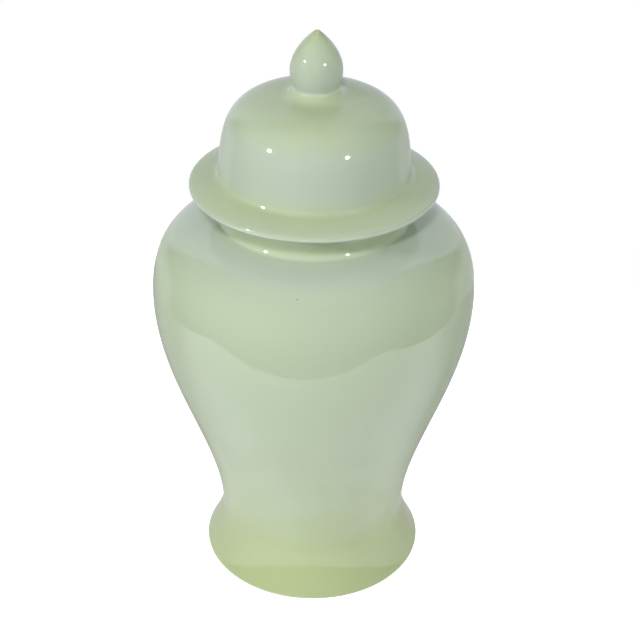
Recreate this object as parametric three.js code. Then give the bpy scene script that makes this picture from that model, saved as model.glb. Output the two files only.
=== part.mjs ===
// Lidded porcelain jar: a temple jar with a spreading foot, a high round shoulder, an upright neck
// and a domed lid with a bud finial. Millimetres, +Z up, origin at the centre of the standing ring.
// The jar and the lid are each luted from turned sections, and every section is one mesh.

import * as THREE from 'three';

// Heights above the surface that the jar stands on
const WAIST_Z = 41; // crease between foot and body, where the wall is narrowest
const BELLY_Z = 246; // widest ring
const NECK_Z = 316.4; // seam at the top of the shoulder's fillet
const RIM_Z = 339.4; // top of the neck
const BRIM_Z = 339.7; // underside of the lid's brim, where it rests
const DOME_Z = 352.7; // seam at the top of the brim's fillet
const PEDESTAL_Z = 417.5; // seam under the finial
const TOP_Z = 460; // tip of the finial

// Outer radii
const STANDING_RADIUS = 89.4; // outer edge of the flat ring that meets the ground
const WAIST_RADIUS = 76.6;
const BELLY_RADIUS = 126.6;
const NECK_RADIUS = 70;
const BRIM_RADIUS = 95.2;
const DOME_RADIUS = 73.3;
const PEDESTAL_RADIUS = 16.5;

// Walls and gaps
const JAR_WALL = 7;
const LID_WALL = 6;
const SLAB_RADIUS = 77.7; // disc that closes the bottom
const SLAB_TOP_Z = 16;
const SLAB_THICKNESS = 7;
const SLAB_GAP = 0.3; // between the disc's edge and the foot
const SEAT_GAP = 0.3; // between pieces that turn or lift against each other
const RING_RADIUS = 60.5; // locating ring, which drops 2.5 mm clear of the neck's bore
const RING_DEPTH = 17; // how far the ring reaches below the brim

// Facets
const SEGMENTS = 48; // around the axis
const JAR_STEP = 20; // along an outline's curves
const LID_STEP = 9;

const glaze = { color: 0xd3e8c6, roughness: 0.12, metalness: 0 };
const bareClay = { color: 0xece6d8, roughness: 0.7, metalness: 0 };

// A path starts at (radius, height) and keeps the clay on its left.
function startAt(radius, height) {
  const path = new THREE.Path();
  path.moveTo(radius, height);
  return path;
}

// Splits each curve of a path into steps of about the same length.
function outlineOf(path, stepLength) {
  const points = [];
  for (const curve of path.curves) {
    const steps = curve.isLineCurve ? 1 : Math.max(3, Math.round(curve.getLength() / stepLength));
    for (let step = 0; step < steps; step++) points.push(curve.getPoint(step / steps));
  }
  points.push(path.curves.at(-1).getPoint(1));
  return points;
}

// Turns an outline about the jar's axis and names the piece.
function turned(name, path, stepLength, look) {
  const geometry = new THREE.LatheGeometry(outlineOf(path, stepLength), SEGMENTS);
  geometry.rotateX(Math.PI / 2);
  const mesh = new THREE.Mesh(geometry, new THREE.MeshStandardMaterial(look));
  mesh.name = name;
  return mesh;
}

// Spreading foot: a standing ring, a flare up to the waist, and a ledge inside for the slab.
function foot() {
  const edge = 1.5; // rounding of the ring's outer edge
  const ledgeRadius = 73;
  const path = startAt(STANDING_RADIUS - 6.6, 0);
  path.lineTo(STANDING_RADIUS, 0);
  path.absarc(STANDING_RADIUS, edge, edge, -Math.PI / 2, Math.PI / 5, false);
  path.bezierCurveTo(84.9, 11.4, WAIST_RADIUS, 31.8, WAIST_RADIUS, WAIST_Z);
  path.lineTo(WAIST_RADIUS - JAR_WALL, WAIST_Z);
  path.quadraticCurveTo(WAIST_RADIUS - JAR_WALL, 27, ledgeRadius, SLAB_TOP_Z);
  path.lineTo(SLAB_RADIUS + SLAB_GAP, SLAB_TOP_Z);
  path.lineTo(SLAB_RADIUS + SLAB_GAP, SLAB_TOP_Z - SLAB_THICKNESS);
  path.closePath();
  return turned('foot', path, JAR_STEP, glaze);
}

// Disc that closes the bottom of the jar, set up against the foot's ledge.
function baseSlab() {
  const path = startAt(0, SLAB_TOP_Z - SLAB_THICKNESS);
  path.lineTo(SLAB_RADIUS, SLAB_TOP_Z - SLAB_THICKNESS);
  path.lineTo(SLAB_RADIUS, SLAB_TOP_Z);
  path.lineTo(0, SLAB_TOP_Z);
  return turned('base_slab', path, JAR_STEP, glaze);
}

// Wall from the waist to the widest ring: one long S-curve, and the same curve a wall further in.
function lowerBody() {
  const innerBelly = BELLY_RADIUS - JAR_WALL;
  const innerWaist = WAIST_RADIUS - JAR_WALL;
  const path = startAt(WAIST_RADIUS, WAIST_Z);
  path.bezierCurveTo(WAIST_RADIUS + 1.2, 108.7, BELLY_RADIUS, 177.2, BELLY_RADIUS, BELLY_Z);
  path.lineTo(innerBelly, BELLY_Z);
  path.bezierCurveTo(innerBelly, 179.4, innerWaist + 1.2, 111, innerWaist, WAIST_Z);
  path.closePath();
  return turned('lower_body', path, JAR_STEP, glaze);
}

// Wall from the widest ring over the shoulder, ending in the fillet that rises into the neck.
function shoulder() {
  const innerBelly = BELLY_RADIUS - JAR_WALL;
  const innerNeck = NECK_RADIUS - JAR_WALL;
  const path = startAt(BELLY_RADIUS, BELLY_Z);
  path.bezierCurveTo(BELLY_RADIUS, 268.6, 123.2, 305.4, 74.2, 310);
  path.quadraticCurveTo(NECK_RADIUS, 310.4, NECK_RADIUS, NECK_Z);
  path.lineTo(innerNeck, NECK_Z);
  path.quadraticCurveTo(innerNeck, 304.2, 71, 303.2);
  path.bezierCurveTo(115, 300, innerBelly, 268, innerBelly, BELLY_Z);
  path.closePath();
  return turned('shoulder', path, JAR_STEP, glaze);
}

// Upright neck with a rounded rim.
function neck() {
  const innerNeck = NECK_RADIUS - JAR_WALL;
  const round = 2;
  const path = startAt(innerNeck, NECK_Z);
  path.lineTo(NECK_RADIUS, NECK_Z);
  path.lineTo(NECK_RADIUS, RIM_Z - round);
  path.quadraticCurveTo(NECK_RADIUS, RIM_Z, NECK_RADIUS - round, RIM_Z);
  path.lineTo(innerNeck + round, RIM_Z);
  path.quadraticCurveTo(innerNeck, RIM_Z, innerNeck, RIM_Z - round);
  path.closePath();
  return turned('neck', path, JAR_STEP, glaze);
}

// Ring under the lid that drops inside the neck, with its lower edge eased.
function lidLocatingRing() {
  const inner = RING_RADIUS - LID_WALL;
  const bottom = BRIM_Z - RING_DEPTH;
  const top = BRIM_Z - SEAT_GAP;
  const path = startAt(inner, top);
  path.lineTo(inner, bottom + 2);
  path.quadraticCurveTo(inner, bottom, inner + 2, bottom);
  path.lineTo(RING_RADIUS - 2, bottom);
  path.quadraticCurveTo(RING_RADIUS, bottom, RING_RADIUS, bottom + 2);
  path.lineTo(RING_RADIUS, top);
  path.closePath();
  return turned('lid_locating_ring', path, LID_STEP, bareClay);
}

// Brim: a flat seat, a wide skirt that droops to a rounded edge, and a fillet up to the dome.
function lidBrim() {
  const edge = 2.6; // half the edge's thickness
  const edgeZ = 339.3;
  const inner = RING_RADIUS - LID_WALL;
  const path = startAt(inner, BRIM_Z);
  path.lineTo(DOME_RADIUS, BRIM_Z);
  path.lineTo(BRIM_RADIUS - edge, edgeZ - edge);
  path.absarc(BRIM_RADIUS - edge, edgeZ, edge, -Math.PI / 2, Math.PI * 0.4, false);
  path.quadraticCurveTo(84.5, 345.2, 77, 347.3);
  path.quadraticCurveTo(DOME_RADIUS, 348.3, DOME_RADIUS, DOME_Z);
  path.lineTo(DOME_RADIUS - LID_WALL, DOME_Z);
  path.quadraticCurveTo(DOME_RADIUS - LID_WALL, 345.7, inner, 344.2);
  path.closePath();
  return turned('lid_brim', path, LID_STEP, glaze);
}

// Dome: steep sides that round over to a low crown, with a pedestal for the finial.
function lidDome() {
  const path = startAt(0, 405);
  path.lineTo(18, 404.6);
  path.bezierCurveTo(61, 402, 63.5, 384, DOME_RADIUS - LID_WALL, DOME_Z);
  path.lineTo(DOME_RADIUS, DOME_Z);
  path.bezierCurveTo(69.9, 386.5, 68.2, 407.6, 20.9, 411.1);
  path.quadraticCurveTo(PEDESTAL_RADIUS, 411.4, PEDESTAL_RADIUS, PEDESTAL_Z);
  path.lineTo(0, PEDESTAL_Z);
  return turned('lid_dome', path, LID_STEP, glaze);
}

// Finial: a bud that swells above a tight waist and closes to a blunt point.
function lidFinial() {
  const path = startAt(0, PEDESTAL_Z);
  path.lineTo(PEDESTAL_RADIUS, PEDESTAL_Z);
  path.bezierCurveTo(19.5, 422.2, 25.5, 440.4, 2.4, TOP_Z - 0.9);
  path.quadraticCurveTo(1.3, TOP_Z, 0, TOP_Z);
  return turned('lid_finial', path, LID_STEP, glaze);
}

const jar = new THREE.Group();
jar.add(foot(), baseSlab(), lowerBody(), shoulder(), neck());

const lid = new THREE.Group();
lid.add(lidLocatingRing(), lidBrim(), lidDome(), lidFinial());

const model = new THREE.Group();
model.add(jar, lid);

export default model;
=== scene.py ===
import math

import bmesh
import bpy
from mathutils import Euler, Matrix, Vector, noise
from mathutils.geometry import interpolate_bezier


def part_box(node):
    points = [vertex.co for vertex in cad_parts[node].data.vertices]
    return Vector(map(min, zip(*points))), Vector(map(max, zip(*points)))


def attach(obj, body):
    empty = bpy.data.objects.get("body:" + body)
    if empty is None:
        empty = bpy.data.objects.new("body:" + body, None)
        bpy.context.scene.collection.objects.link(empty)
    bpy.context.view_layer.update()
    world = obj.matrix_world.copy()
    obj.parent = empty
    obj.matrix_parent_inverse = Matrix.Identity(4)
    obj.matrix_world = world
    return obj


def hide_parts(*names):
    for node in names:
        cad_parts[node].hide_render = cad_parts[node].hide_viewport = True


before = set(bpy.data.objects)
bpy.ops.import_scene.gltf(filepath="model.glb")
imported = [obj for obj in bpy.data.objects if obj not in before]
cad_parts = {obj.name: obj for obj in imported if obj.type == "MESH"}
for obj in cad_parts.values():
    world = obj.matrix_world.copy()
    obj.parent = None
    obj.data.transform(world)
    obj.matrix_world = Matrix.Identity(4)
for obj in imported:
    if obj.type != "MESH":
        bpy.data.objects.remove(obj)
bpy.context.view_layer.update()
mm = 0.001
scene = bpy.context.scene
print("frame loaded:", len(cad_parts), "CAD nodes")

cameraSet = {
    "elevation": 31.72,  # degrees above the table
    "distance": 1.201,  # metres from what it aims at
    "lens": 84.2,  # mm
    "sensor": 36,  # mm across
    "aim": (0.0052, 0.2155),  # right of the axis, and above the table
    "lean": 0.49,  # degrees that the camera is tipped to its left
}


def makeCamera():
    tilt = math.radians(cameraSet["elevation"])
    right, height = cameraSet["aim"]
    back = Vector((0, -math.cos(tilt), math.sin(tilt)))
    data = bpy.data.cameras.new("camera")
    data.lens = cameraSet["lens"]
    data.sensor_width = cameraSet["sensor"]
    camera = bpy.data.objects.new("camera", data)
    camera.rotation_mode = "QUATERNION"
    camera.location = Vector((right, 0, height)) + back * cameraSet["distance"]
    lean = Euler((0, 0, math.radians(cameraSet["lean"]))).to_quaternion()
    camera.rotation_quaternion = (-back).to_track_quat("-Z", "Y") @ lean
    scene.collection.objects.link(camera)
    scene.camera = camera


makeCamera()
print("camera placed")


def topOf(node):
    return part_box(node)[1].z / mm


def bottomOf(node):
    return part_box(node)[0].z / mm


def radiusOf(node):
    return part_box(node)[1].x / mm


# heights and radii of the seams between pieces, in millimetres, read from the fixed frame
clearance = 0.3  # between pieces that bear on each other
waistZ = topOf("foot")
slabZ = topOf("base_slab")
bellyZ = topOf("lower_body")
neckZ = topOf("shoulder")
rimZ = topOf("neck")
seatZ = rimZ + clearance  # underside of the brim, which bears on the rim
domeZ = bottomOf("lid_dome")
pedestalZ = bottomOf("lid_finial")
tipZ = topOf("lid_finial")
slabRadius = radiusOf("base_slab")
waistRadius = 76.6  # the crease above the foot, which no box gives
bellyRadius = radiusOf("lower_body")
neckRadius = radiusOf("neck")
ringRadius = radiusOf("lid_locating_ring")
brimRadius = radiusOf("lid_brim")
domeRadius = radiusOf("lid_dome")
pedestalRadius = 17.2  # the crease under the finial, 0.7 fuller than the fixed frame's
jarWall = 7
lidWall = 6

turningSet = {
    "segments": 192,  # facets round every piece, all alike so that seams meet
    "step": 3.0,  # mm between rings on long curves
    "hold": 0.15,  # mm from a sharp corner to the ring that keeps shading straight
    "corner": 35,  # degrees past which an edge stays sharp
    "wobble": 0.11,  # mm that the hand left in the wall
    "wobbleLength": 95,  # mm up the wall from one swell to the next
    "wobbleTurn": 1.3,  # swells to a radian round the wall
    "wobbleSink": 0.5,  # how far the swells are sunk, so that they don't widen the piece
    "grooves": 0.006,  # mm depth of the throwing marks
    "groovePitch": 10.5,  # mm from mark to mark
    "core": 5,  # mm radius inside which the wear fades out
}


class Outline:  # runs through (radius, height) points in millimetres
    def __init__(self, radius, height):
        self.points = [Vector((radius, 0, height))]

    def line(self, radius, height):
        start, end = self.points[-1], Vector((radius, 0, height))
        count = max(1, round((end - start).length / turningSet["step"]))
        self.points += [start.lerp(end, k / count) for k in range(1, count + 1)]
        return self

    def curve(self, handleA, handleB, end, step=None):
        ends = [Vector((radius, 0, height)) for radius, height in (handleA, handleB, end)]
        hull = [self.points[-1], *ends]
        length = sum((b - a).length for a, b in zip(hull, ends))
        count = max(5, round(length / (step or turningSet["step"])))
        self.points += interpolate_bezier(*hull, count + 1)[1:]
        return self

    def bend(self, corner, end, step=1.0):
        start, middle, stop = [self.points[-1]] + [Vector((x, 0, z)) for x, z in (corner, end)]
        handleA, handleB = start.lerp(middle, 2 / 3), stop.lerp(middle, 2 / 3)
        return self.curve((handleA.x, handleA.z), (handleB.x, handleB.z), end, step)

    def held(self, closed):  # the points, with a near neighbour either side of each corner
        points = self.points[:-1] if closed else self.points
        kept = []
        for k, point in enumerate(points):
            if not closed and k in (0, len(points) - 1):
                kept.append(point)
                continue
            before, after = points[k - 1] - point, points[(k + 1) % len(points)] - point
            sharp = math.degrees(math.pi - before.angle(after)) > turningSet["corner"]
            sides = [before, after] if sharp else []
            near = [point + way.normalized() * min(turningSet["hold"], way.length / 3) for way in sides]
            kept += near[:1] + [point] + near[1:]
        return kept


def handWorn(point):  # swells and throwing marks, the same for every piece so that seams meet
    angle, height = math.atan2(point.y, point.x), point.z / mm
    around = Vector((math.cos(angle), math.sin(angle), height / turningSet["wobbleLength"]))
    rise = noise.noise(around * turningSet["wobbleTurn"]) - turningSet["wobbleSink"]
    swell = turningSet["wobble"] * rise
    groove = turningSet["grooves"] * math.sin(2 * math.pi * height / turningSet["groovePitch"] + angle)
    radius = max(turningSet["core"] * mm, math.hypot(point.x, point.y))
    grow = 1 + (swell + groove) * mm / radius
    return Vector((point.x * grow, point.y * grow, point.z))


def turn(name, outline, closed=True, shift=None):
    bm = bmesh.new()
    verts = [bm.verts.new(point * mm) for point in outline.held(closed)]
    pairs = zip(verts, verts[1:] + verts[:1] if closed else verts[1:])
    edges = [bm.edges.new(pair) for pair in pairs]
    bmesh.ops.spin(bm, geom=verts + edges, cent=(0, 0, 0), axis=(0, 0, 1), angle=2 * math.pi,
                   steps=turningSet["segments"], use_merge=True, use_duplicate=False)
    bmesh.ops.remove_doubles(bm, verts=bm.verts, dist=1e-6)
    bmesh.ops.recalc_face_normals(bm, faces=bm.faces)
    for vert in bm.verts:
        worn = handWorn(vert.co)
        vert.co = shift(worn) if shift else worn
    for edge in bm.edges:
        edge.smooth = math.degrees(edge.calc_face_angle(0)) < turningSet["corner"]
    for face in bm.faces:
        face.smooth = True
    mesh = bpy.data.meshes.new(name)
    bm.to_mesh(mesh)
    bm.free()
    piece = bpy.data.objects.new(name, mesh)
    scene.collection.objects.link(piece)
    print("turned", name, len(mesh.polygons), "faces")
    return piece


# the jar

footSet = {
    "flat": (82.8, 89.4),  # radii of the standing ring's flat
    "toe": ((0.9, 0), (1.7, 1.2), (1.2, 2.4)),  # its rounded outer edge, out and up from the flat
    "flare": (84.9, 11.4),  # lower handle of the flare
    "flareTop": 31.8,  # height of its upper handle, straight under the waist
    "bowl": 27,  # height at which the inner wall bends
    "ledge": 73,  # radius of the ledge that the slab is luted to
    "heel": ((-2, 3), (-0.4, 0.6)),  # its inner edge, in and up from the flat
}
slabSet = {
    "recess": 9,  # height of the slab above the table
    "edge": 1,  # rounding of its lower edge
}


def makeFoot():
    inner, outer = footSet["flat"]
    innerWaist, pocket = waistRadius - jarWall, slabRadius + clearance
    shape = Outline(inner, 0).line(outer, 0)
    shape.curve(*[(outer + out, up) for out, up in footSet["toe"]], 0.5)
    shape.curve(footSet["flare"], (waistRadius, footSet["flareTop"]), (waistRadius, waistZ), 1.5)
    shape.line(innerWaist, waistZ)
    shape.bend((innerWaist, footSet["bowl"]), (footSet["ledge"], slabZ), 2)
    shape.line(pocket, slabZ).line(pocket, slabSet["recess"])
    shape.bend(*[(inner + out, up) for out, up in footSet["heel"]]).line(inner, 0)
    return turn("jarFoot", shape)


def makeSlab():
    low, edge = slabSet["recess"], slabSet["edge"]
    shape = Outline(0, low).line(slabRadius - edge, low)
    shape.bend((slabRadius, low), (slabRadius, low + edge), 0.5)
    shape.line(slabRadius, slabZ).line(0, slabZ)
    return turn("baseSlab", shape, closed=False)


bodySet = {
    "lean": 1.2,  # how far the wall leans out as it leaves the waist
    "outside": (108.7, 177.2),  # heights of the outer curve's handles
    "inside": (111, 179.4),  # and of the inner curve's
}


def makeLowerBody():
    innerBelly, innerWaist = bellyRadius - jarWall, waistRadius - jarWall
    lean, (low, high), (innerLow, innerHigh) = bodySet["lean"], bodySet["outside"], bodySet["inside"]
    shape = Outline(waistRadius, waistZ)
    shape.curve((waistRadius + lean, low), (bellyRadius, high), (bellyRadius, bellyZ))
    shape.line(innerBelly, bellyZ)
    shape.curve((innerBelly, innerHigh), (innerWaist + lean, innerLow), (innerWaist, waistZ), 5)
    shape.line(waistRadius, waistZ)
    return turn("lowerBody", shape)


shoulderSet = {
    "rise": 268.6,  # height of the lower handle, straight over the belly
    "round": (123.2, 305.4),  # upper handle
    "fillet": (74.2, 310),  # where the fillet up to the neck begins
    "filletZ": 310.4,  # height at which it turns up
    "innerFilletZ": 304.2,  # the same points of the inner wall
    "innerFillet": (71, 303.2),
    "innerRound": (115, 300),
    "innerRise": 268,
}


def makeShoulder():
    innerBelly, innerNeck = bellyRadius - jarWall, neckRadius - jarWall
    shape = Outline(bellyRadius, bellyZ)
    shape.curve((bellyRadius, shoulderSet["rise"]), shoulderSet["round"], shoulderSet["fillet"], 2)
    shape.bend((neckRadius, shoulderSet["filletZ"]), (neckRadius, neckZ), 0.6)
    shape.line(innerNeck, neckZ)
    shape.bend((innerNeck, shoulderSet["innerFilletZ"]), shoulderSet["innerFillet"], 2)
    innerRise = (innerBelly, shoulderSet["innerRise"])
    shape.curve(shoulderSet["innerRound"], innerRise, (innerBelly, bellyZ), 5)
    shape.line(bellyRadius, bellyZ)
    return turn("jarShoulder", shape)


neckSet = {
    "rounding": 2,  # of the rim's two edges
}


def makeNeck():
    inner, rounding = neckRadius - jarWall, neckSet["rounding"]
    shape = Outline(inner, neckZ).line(neckRadius, neckZ).line(neckRadius, rimZ - rounding)
    shape.bend((neckRadius, rimZ), (neckRadius - rounding, rimZ), 0.5)
    shape.line(inner + rounding, rimZ)
    shape.bend((inner, rimZ), (inner, rimZ - rounding), 0.5)
    shape.line(inner, neckZ)
    return turn("neckCollar", shape)


# the lid

lidSet = {
    "lean": 0.7,  # degrees off the upright at which the dome and finial were luted, to the right
    "dip": 0.3,  # degrees that the brim falls to the right
    "seat": 72,  # radius inside which the seat stays flat
    "settle": 12,  # mm over which the dip comes in
}


def settled(point):  # a lid never fires quite true above its seat
    rise = max(0, point.z - seatZ * mm)
    outside = max(0, math.hypot(point.x, point.y) - lidSet["seat"] * mm)
    share = min(1, math.hypot(rise, outside) / (lidSet["settle"] * mm))
    eased = share * share * (3 - 2 * share)
    dip = point.x * math.tan(math.radians(lidSet["dip"])) * eased
    lean = rise * math.tan(math.radians(lidSet["lean"]))
    return Vector((point.x + lean, point.y, point.z - dip))


ringSet = {
    "ease": 2,  # rounding of its lower edges
}


def makeLocatingRing():
    inner, low, ease = ringRadius - lidWall, bottomOf("lid_locating_ring"), ringSet["ease"]
    top = topOf("lid_locating_ring")
    shape = Outline(inner, top).line(inner, low + ease).bend((inner, low), (inner + ease, low), 0.5)
    shape.line(ringRadius - ease, low).bend((ringRadius, low), (ringRadius, low + ease), 0.5)
    shape.line(ringRadius, top).line(inner, top)
    return turn("lidLocatingRing", shape)


brimSet = {
    "edge": 2.6,  # half its thickness at the edge
    "edgeZ": 339.3,  # height of the edge's middle
    "edgeTop": ((2.6, 1.9), (0.8, 2.47)),  # the edge's upper rounding, from that middle
    "droop": (84.5, 345.2),  # middle of the upper face
    "fillet": (77, 347.3),  # where the fillet up to the dome begins
    "filletZ": 348.3,  # height at which it turns up
    "innerFilletZ": 345.7,  # the same inside the lid
    "innerZ": 344.2,  # height of the inner edge
}


def makeBrim():
    edge, edgeZ = brimSet["edge"], brimSet["edgeZ"]
    inner, innerDome, lip = ringRadius - lidWall, domeRadius - lidWall, brimRadius - edge
    shape = Outline(inner, seatZ).line(domeRadius, seatZ).line(lip, edgeZ - edge)
    shape.bend((lip + edge, edgeZ - edge), (lip + edge, edgeZ), 0.4)
    shape.bend(*[(lip + out, edgeZ + up) for out, up in brimSet["edgeTop"]], 0.4)
    shape.bend(brimSet["droop"], brimSet["fillet"])
    shape.bend((domeRadius, brimSet["filletZ"]), (domeRadius, domeZ), 0.6)
    shape.line(innerDome, domeZ)
    shape.bend((innerDome, brimSet["innerFilletZ"]), (inner, brimSet["innerZ"]), 2)
    shape.line(inner, seatZ)
    return turn("lidBrim", shape, shift=settled)


domeSet = {
    "ceiling": ((0, 405), (18, 404.6)),  # the flat middle of its inside
    "inside": ((61, 402), (63.5, 384)),  # handles of the inner wall
    "outside": ((69.9, 386.5), (68.2, 407.4)),  # handles of the outer wall
    "fillet": (28, 410.5),  # where the fillet up to the pedestal begins
    "filletZ": 411.3,  # height at which it turns up
    "splay": 1.2,  # how far out of the upright it turns
}


def makeDome():
    middle, side = domeSet["ceiling"]
    shape = Outline(*middle).line(*side)
    shape.curve(*domeSet["inside"], (domeRadius - lidWall, domeZ), 4)
    shape.line(domeRadius, domeZ)
    shape.curve(*domeSet["outside"], domeSet["fillet"], 1.5)
    turnUp = (pedestalRadius + domeSet["splay"], domeSet["filletZ"])
    shape.bend(turnUp, (pedestalRadius, pedestalZ), 0.5)
    shape.line(0, pedestalZ)
    return turn("lidDome", shape, closed=False, shift=settled)


finialSet = {
    "bud": ((19.6, 423.6), (25.3, 439.8)),  # handles of its side
    "blunt": (2.4, 0.9),  # where the tip rounds over: radius, and mm below the tip
    "cap": 1.3,  # radius of the rounding's handle
}


def makeFinial():
    radius, drop = finialSet["blunt"]
    shape = Outline(0, pedestalZ).line(pedestalRadius, pedestalZ)
    shape.curve(*finialSet["bud"], (radius, tipZ - drop), 0.8)
    shape.bend((finialSet["cap"], tipZ), (0, tipZ), 0.3)
    return turn("lidFinial", shape, closed=False, shift=settled)


# glaze and clay


class Wire:  # an output socket, so that shader sums read as ordinary ones
    def __init__(self, board, socket):
        self.board, self.socket = board, socket

    def sum(self, operation, first, second):
        return self.board.node("ShaderNodeMath", {"operation": operation}, {0: first, 1: second})

    def __add__(self, other):
        return self.sum("ADD", self, other)

    __radd__ = __add__

    def __sub__(self, other):
        return self.sum("SUBTRACT", self, other)

    def __rsub__(self, other):
        return self.sum("SUBTRACT", other, self)

    def __mul__(self, other):
        return self.sum("MULTIPLY", self, other)

    __rmul__ = __mul__


class Board:  # a node tree to lay nodes on
    def __init__(self, tree):
        self.tree = tree
        tree.nodes.clear()

    def node(self, kind, settings=None, sockets=None, output=0):
        made = self.tree.nodes.new(kind)
        for key, value in (settings or {}).items():
            if key == "stops":
                self.setStops(made.color_ramp, value)
            else:
                setattr(made, key, value)
        for key, value in (sockets or {}).items():
            if isinstance(value, Wire):
                self.tree.links.new(value.socket, made.inputs[key])
            else:
                made.inputs[key].default_value = value
        return Wire(self, made.outputs[output]) if made.outputs else None

    def setStops(self, ramp, stops):
        for position, level in stops[1:-1]:
            ramp.elements.new(position).color = (level, level, level, 1)
        for element, (position, level) in zip((ramp.elements[0], ramp.elements[-1]), (stops[0], stops[-1])):
            element.position, element.color = position, (level, level, level, 1)

    def mix(self, low, high, share):
        return self.node("ShaderNodeMix", {"data_type": "RGBA"}, {0: share, 6: low, 7: high}, output=2)

    def ease(self, value, start, end):  # 0 at start, 1 at end, smooth between
        low, high = min(start, end), max(start, end)
        span = {"Value": value, "From Min": low, "From Max": high}
        rise = self.node("ShaderNodeMapRange", {"interpolation_type": "SMOOTHSTEP"}, span)
        return rise if start < end else 1 - rise

    def noise(self, place, scale, detail=2.0):
        return self.node("ShaderNodeTexNoise", {}, {"Vector": place, "Scale": scale, "Detail": detail})

    def part(self, place, axis):
        return self.node("ShaderNodeSeparateXYZ", {}, {"Vector": place}, output=axis)

    def place(self):  # where a point lies in the frame, in metres
        return self.node("ShaderNodeTexCoord", output="Object")

    def surface(self, finish):
        shader = self.node("ShaderNodeBsdfPrincipled", {}, finish)
        self.node("ShaderNodeOutputMaterial", {}, {"Surface": shader})


def newMaterial(name):
    material = bpy.data.materials.new(name)
    material.use_nodes = True
    return material, Board(material.node_tree)


glazeSet = {
    "pale": (0.64, 0.71, 0.57, 1),  # colour where the porcelain shows through
    "thinAndPaintedLight": (0.516, 0.602, 0.492, 1),  # colour where the glaze has run off, and the painted light on the shoulder's flat top
    "body": (0.505, 0.602, 0.425, 1),  # colour on open walls
    "pool": (0.430, 0.503, 0.268, 1),  # colour where it has gathered
    "thickness": [  # (height in mm, 0 pale to 1 pooled)
        (0, 1.0), (30, 0.97), (60, 0.82), (90, 0.76), (150, 0.68), (200, 0.56), (262, 0.53),
        # painted light: the levels from 290 to 309 mm make the shoulder's flat top paler, standing in for
        # the brighter light and the backdrop's reflection that fall there
        (290, 0.5), (301, 0.42), (306, 0.22), (309, 0.26), (314, 0.72), (320, 0.7), (330, 0.55),
        (337.5, 0.3), (338.6, 0.0), (340.4, 0.0), (341.6, 0.7), (348, 0.8), (353, 0.46),
        (359, 0.28), (384, 0.28), (394, 0.46), (404, 0.7), (412, 0.78), (416, 0.7), (416.8, 0.3),
        (418.4, 0.1), (420, 0.28), (446, 0.49), (456, 0.73), (460, 0.87),
    ],
    "steps": (0, 0.25, 0.55, 1),  # thicknesses that are pale, thin, body and pool
    "gloss": 0.045,  # roughness of the glaze
    "glossSwing": 0.02,  # how much it varies
    "glossPatches": 60,  # to the metre
    "ior": 1.5,
    "mottle": 26,  # patches to the metre
    "patches": 0.2,  # how much they thin and thicken the glaze
    "clouds": 0.25,  # and how much the patches four times as large do
    "peel": 210,  # ripples to the metre
    "peelDepth": 0.00002,
    "pinholes": [  # (place in metres, radius, how dark)
        ((-0.0110, -0.1066, 0.2984), 0.0009, 0.8),
        ((0.0914, -0.0513, 0.3001), 0.0009, 0.45),
    ],
    "pinhole": (0.20, 0.22, 0.15, 1),
    "pinholeHeart": 0.3,  # share of its radius that is darkest
}
bareSet = {
    "colour": (0.78, 0.74, 0.65, 1),
    "stain": (0.66, 0.58, 0.46, 1),
    "stains": 40,  # to the metre
    "stainFrom": (0.5, 0.8),  # noise levels between which a stain comes in
    "stainDepth": 0.5,
    "roughness": 0.6,
    "roughnessSwing": 0.2,
    "grit": 1400,  # grains to the metre
    "gritDepth": 0.0001,
    "ring": (1.9, 0.6),  # mm above the table between which the standing ring turns bare
    "rim": (1.4, 0.5),  # mm below the rim's top
    "seat": (74, 72.5),  # radii between which the brim's underside does, in mm
    "seatZ": (341.6, 340.6),  # heights between which that stops
    "wander": 160,  # bends of the glaze's edge, to the metre
    "wandering": 1.2,  # mm
    "rimWandering": 0.8,
}


def glaze(name, bare=None):  # bare gives the share of bare clay at each place
    material, board = newMaterial(name)
    place = board.place()
    height = board.part(place, "Z") * (1 / mm)
    stops = [(z / tipZ, level) for z, level in glazeSet["thickness"]]
    # the levels hold the glaze's thickness, and painted light on the shoulder's flat top
    thickness = board.node("ShaderNodeValToRGB", {"stops": stops}, {"Fac": height * (1 / tipZ)})
    patches = board.noise(place, glazeSet["mottle"], 3.0) - 0.5
    clouds = board.noise(place, glazeSet["mottle"] / 4, 1.0) - 0.5
    thickness = thickness + patches * glazeSet["patches"] + clouds * glazeSet["clouds"]
    pale, thinAndPaintedLight, body, pool = glazeSet["steps"]
    colour = board.mix(glazeSet["pale"], glazeSet["thinAndPaintedLight"], board.ease(thickness, pale, thinAndPaintedLight))
    colour = board.mix(colour, glazeSet["body"], board.ease(thickness, thinAndPaintedLight, body))
    colour = board.mix(colour, glazeSet["pool"], board.ease(thickness, body, pool))
    for point, radius, dark in glazeSet["pinholes"]:
        ends = {0: place, 1: point}
        gap = board.node("ShaderNodeVectorMath", {"operation": "DISTANCE"}, ends, output="Value")
        hole = board.ease(gap, radius, radius * glazeSet["pinholeHeart"]) * dark
        colour = board.mix(colour, glazeSet["pinhole"], hole)
    peel = board.noise(place, glazeSet["peel"], 1.0)
    swing = glazeSet["glossSwing"]
    gloss = board.noise(place, glazeSet["glossPatches"]) * swing + (glazeSet["gloss"] - swing / 2)
    if bare:
        clay = bare(board, place, height)
        colour = board.mix(colour, bareSet["colour"], clay)
        gloss = gloss + clay * bareSet["roughness"]
    bump = {"Strength": 1.0, "Distance": glazeSet["peelDepth"], "Height": peel}
    board.surface({
        "Base Color": colour,
        "Roughness": gloss,
        "IOR": glazeSet["ior"],
        "Normal": board.node("ShaderNodeBump", {}, bump),
    })
    return material


def ragged(board, place, measure, swing):  # a wiped edge wanders a little
    return measure + (board.noise(place, bareSet["wander"]) - 0.5) * swing


def bareRing(board, place, height):  # the standing ring is wiped clean
    return board.ease(ragged(board, place, height, bareSet["wandering"]), *bareSet["ring"])


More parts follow.
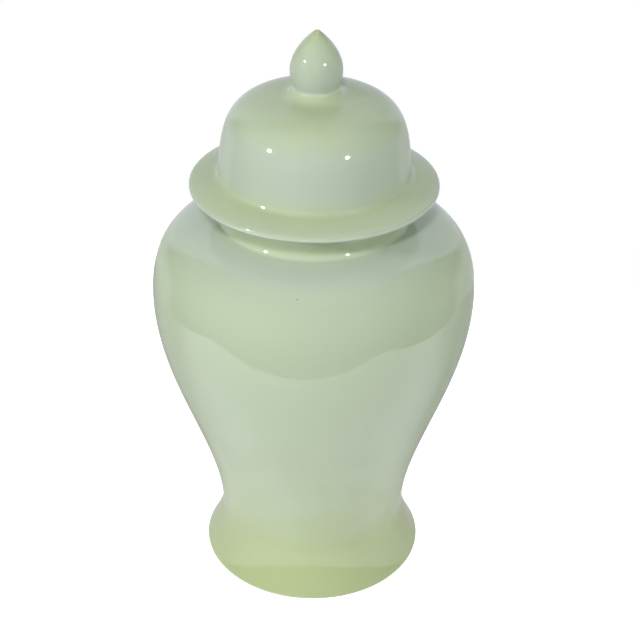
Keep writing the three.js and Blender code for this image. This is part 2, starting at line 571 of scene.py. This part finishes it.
def bareRim(board, place, height):  # so is the rim that carries the lid
    start, end = bareSet["rim"]
    return board.ease(ragged(board, place, height, bareSet["rimWandering"]), rimZ - start, rimZ - end)


def bareSeat(board, place, height):  # and the seat under the brim
    across = {"X": board.part(place, "X"), "Y": board.part(place, "Y")}
    flat = {0: board.node("ShaderNodeCombineXYZ", {}, across)}
    length = board.node("ShaderNodeVectorMath", {"operation": "LENGTH"}, flat, output="Value")
    radius = ragged(board, place, length * (1 / mm), bareSet["wandering"])
    return board.ease(radius, *bareSet["seat"]) * board.ease(height, *bareSet["seatZ"])


def bareClay(name):
    material, board = newMaterial(name)
    place = board.place()
    grain = board.noise(place, bareSet["grit"])
    stain = board.ease(board.noise(place, bareSet["stains"], 3.0), *bareSet["stainFrom"])
    bump = {"Strength": 0.5, "Distance": bareSet["gritDepth"], "Height": grain}
    board.surface({
        "Base Color": board.mix(bareSet["colour"], bareSet["stain"], stain * bareSet["stainDepth"]),
        "Roughness": bareSet["roughness"] + (grain - 0.5) * bareSet["roughnessSwing"],
        "IOR": glazeSet["ior"],
        "Normal": board.node("ShaderNodeBump", {}, bump),
    })
    return material


wallGlaze = glaze("wallGlaze")
pieces = {}
for make, node, body, slot, material in [
    (makeFoot, "foot", "jar", "celadon_glaze", glaze("footGlaze", bareRing)),
    (makeSlab, "base_slab", "jar", "celadon_glaze", wallGlaze),
    (makeLowerBody, "lower_body", "jar", "celadon_glaze", wallGlaze),
    (makeShoulder, "shoulder", "jar", "celadon_glaze", wallGlaze),
    (makeNeck, "neck", "jar", "celadon_glaze", glaze("neckGlaze", bareRim)),
    (makeLocatingRing, "lid_locating_ring", "lid_seat", "bare_porcelain", bareClay("bareClay")),
    (makeBrim, "lid_brim", "lid", "celadon_glaze", glaze("brimGlaze", bareSeat)),
    (makeDome, "lid_dome", "lid", "celadon_glaze", wallGlaze),
    (makeFinial, "lid_finial", "lid", "celadon_glaze", wallGlaze),
]:
    piece = make()
    piece.data.materials.append(material)
    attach(piece, body)
    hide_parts(node)
    pieces[node] = piece
print("jar and lid glazed")

# table, room and lamps

black, white = (0, 0, 0, 1), (1, 1, 1, 1)
tableSet = {
    "centre": (0.003, 0.013),  # metres from the jar's axis
    "size": (1.29, 0.93),
    "turn": -10.3,  # degrees
    "thick": 0.02,
    "corner": 0.06,  # radius of its corners
    "cornerSteps": 12,
    "roughness": 0.9,
    "colour": (0.68, 0.68, 0.66, 1),
    "glow": (0.92, 0.93, 1.10, 1),  # its white sheen in the glaze
    "fade": (-0.12, 0.10),  # how far back the sheen fades, in metres
}


def makeTable():
    bm = bmesh.new()
    bmesh.ops.create_cube(bm, size=1)
    width, depth = tableSet["size"]
    thick = tableSet["thick"]
    bmesh.ops.scale(bm, vec=(width, depth, thick), verts=bm.verts)
    upright = [e for e in bm.edges if abs(e.verts[0].co.z - e.verts[1].co.z) > thick / 2]
    bmesh.ops.bevel(bm, geom=upright, offset=tableSet["corner"], offset_type="OFFSET",
                    segments=tableSet["cornerSteps"], profile=0.5, affect="EDGES", material=-1)
    turned = Matrix.Rotation(math.radians(tableSet["turn"]), 3, "Z")
    bmesh.ops.rotate(bm, verts=bm.verts, cent=(0, 0, 0), matrix=turned)
    x, y = tableSet["centre"]
    bmesh.ops.translate(bm, verts=bm.verts, vec=(x, y, -thick / 2))
    mesh = bpy.data.meshes.new("table")
    bm.to_mesh(mesh)
    bm.free()
    table = bpy.data.objects.new("table", mesh)
    scene.collection.objects.link(table)
    material, board = newMaterial("tableTop")
    behind = board.ease(board.part(board.place(), "Y"), *tableSet["fade"])
    bounce = board.node("ShaderNodeLightPath", output="Is Diffuse Ray")
    seen = board.node("ShaderNodeLightPath", output="Is Camera Ray")
    sheen = board.mix(tableSet["glow"], black, behind)
    sheen = board.mix(sheen, white, seen)
    board.surface({
        "Base Color": tableSet["colour"],
        "Roughness": tableSet["roughness"],
        "Emission Color": board.mix(sheen, black, bounce),  # so that it lights nothing
        "Emission Strength": 1.0,
    })
    mesh.materials.append(material)


roomSet = {
    "light": 0.13,  # level of the light that comes from all round
    "front": (0.12, 0.14, 0.09, 1),  # what the glaze mirrors: the dim room that the jar faces
    "ceiling": (0.62, 0.62, 0.48, 1),
    "paper": (0.78, 0.82, 0.92, 1),  # backdrop behind the jar
    "floor": (0.62, 0.64, 0.62, 1),  # and where it runs down past the table
    "ceilingFrom": (0.80, 0.97),  # sines of the heights between which the ceiling comes in
    "floorBack": (0.3, 0.5),  # how far back a ray has to point to meet the backdrop's floor
    "floorDown": (0.1, -0.1),  # and how far down
    "paperAim": (0, 0.906, 0.423),
    "paperReach": (0.695, 0.745),  # cosines of its soft edge
}


def makeRoom():
    world = bpy.data.worlds.new("room")
    scene.world = world
    world.use_nodes = True
    board = Board(world.node_tree)
    way = board.node("ShaderNodeTexCoord", output="Generated")  # the way that a ray points
    back, up = board.part(way, "Y"), board.part(way, "Z")
    room = board.mix(roomSet["front"], roomSet["ceiling"], board.ease(up, *roomSet["ceilingFrom"]))
    low = board.ease(back, *roomSet["floorBack"]) * board.ease(up, *roomSet["floorDown"])
    room = board.mix(room, roomSet["floor"], low)
    aim = {0: way, 1: roomSet["paperAim"]}
    toPaper = board.node("ShaderNodeVectorMath", {"operation": "DOT_PRODUCT"}, aim, output="Value")
    room = board.mix(room, roomSet["paper"], board.ease(toPaper, *roomSet["paperReach"]))
    even = (roomSet["light"],) * 3 + (1,)
    room = board.mix(room, even, board.node("ShaderNodeLightPath", output="Is Diffuse Ray"))
    room = board.mix(room, white, board.node("ShaderNodeLightPath", output="Is Camera Ray"))
    sky = board.node("ShaderNodeBackground", {}, {"Color": room, "Strength": 1.0})
    board.node("ShaderNodeOutputWorld", {}, {"Surface": sky})


lampSet = {
    # name: (degrees round from the front, degrees up, degrees across, strength)
    "leftLamp": (-60, 22, 4.7, 1.02),
    "rightLamp": (41, 19, 4.7, 1.05),
    "leftPanel": (-80, 12, 45, 0.85),
    "backPanel": (180, 12, 45, 0.45),
    "rightPanel": (120, 12, 45, 0.38),
    "frontLamp": (-6, 41, 6, 1.18),
}
sparkSet = {
    "lamps": ("leftLamp", "rightLamp"),  # the only ones that show in the glaze
    "pieces": ("lid_brim", "lid_dome", "lid_finial", "neck"),  # and where they show
    "gain": 2.0,  # how much brighter they look than the light they give
}
glintSet = {
    "radius": 0.0715,  # of the ring in the fillet that catches the light
    "height": 0.3115,
    "distance": 0.5,  # metres from that ring
    "size": 0.02,
    "power": 16.0,  # watts
    "cone": 4.0,  # degrees across
    "blend": 0.2,  # softness of the cone's edge
}


def aimLamp(lamp, way):
    lamp.rotation_mode = "QUATERNION"
    lamp.rotation_quaternion = (-way).to_track_quat("-Z", "Y")
    scene.collection.objects.link(lamp)


def makeSun(name, way, across, strength):
    data = bpy.data.lights.new(name, "SUN")
    data.energy = strength
    data.angle = math.radians(across)
    lamp = bpy.data.objects.new(name, data)
    lamp.location = way
    aimLamp(lamp, way)
    return lamp


def makeGlint(name, way):  # a spot that only shows as a highlight in the fillet round the neck
    tilt = math.radians(cameraSet["elevation"])
    half = way + Vector((0, -math.cos(tilt), math.sin(tilt)))
    flat = Vector((half.x, half.y, 0)).normalized() * glintSet["radius"]
    data = bpy.data.lights.new(name, "SPOT")
    data.energy = glintSet["power"]
    data.shadow_soft_size = glintSet["size"]
    data.spot_size = math.radians(glintSet["cone"])
    data.spot_blend = glintSet["blend"]
    glint = bpy.data.objects.new(name, data)
    glint.location = flat + Vector((0, 0, glintSet["height"])) + way * glintSet["distance"]
    glint.visible_diffuse = False
    aimLamp(glint, way)


def makeLamps():
    polished = bpy.data.collections.new("polished")
    for node in sparkSet["pieces"]:
        polished.objects.link(pieces[node])
    for name, (around, up, across, strength) in lampSet.items():
        around, up = math.radians(around), math.radians(up)
        level = math.cos(up)
        way = Vector((math.sin(around) * level, -math.cos(around) * level, math.sin(up)))
        makeSun(name, way, across, strength).visible_glossy = False
        if name in sparkSet["lamps"]:
            spark = makeSun(name + "Spark", way, across, strength * sparkSet["gain"])
            spark.visible_diffuse = False
            spark.light_linking.receiver_collection = polished
            makeGlint(name + "Glint", way)


makeTable()
makeRoom()
makeLamps()
scene.view_settings.view_transform = "Standard"
print("table, room and lamps ready")
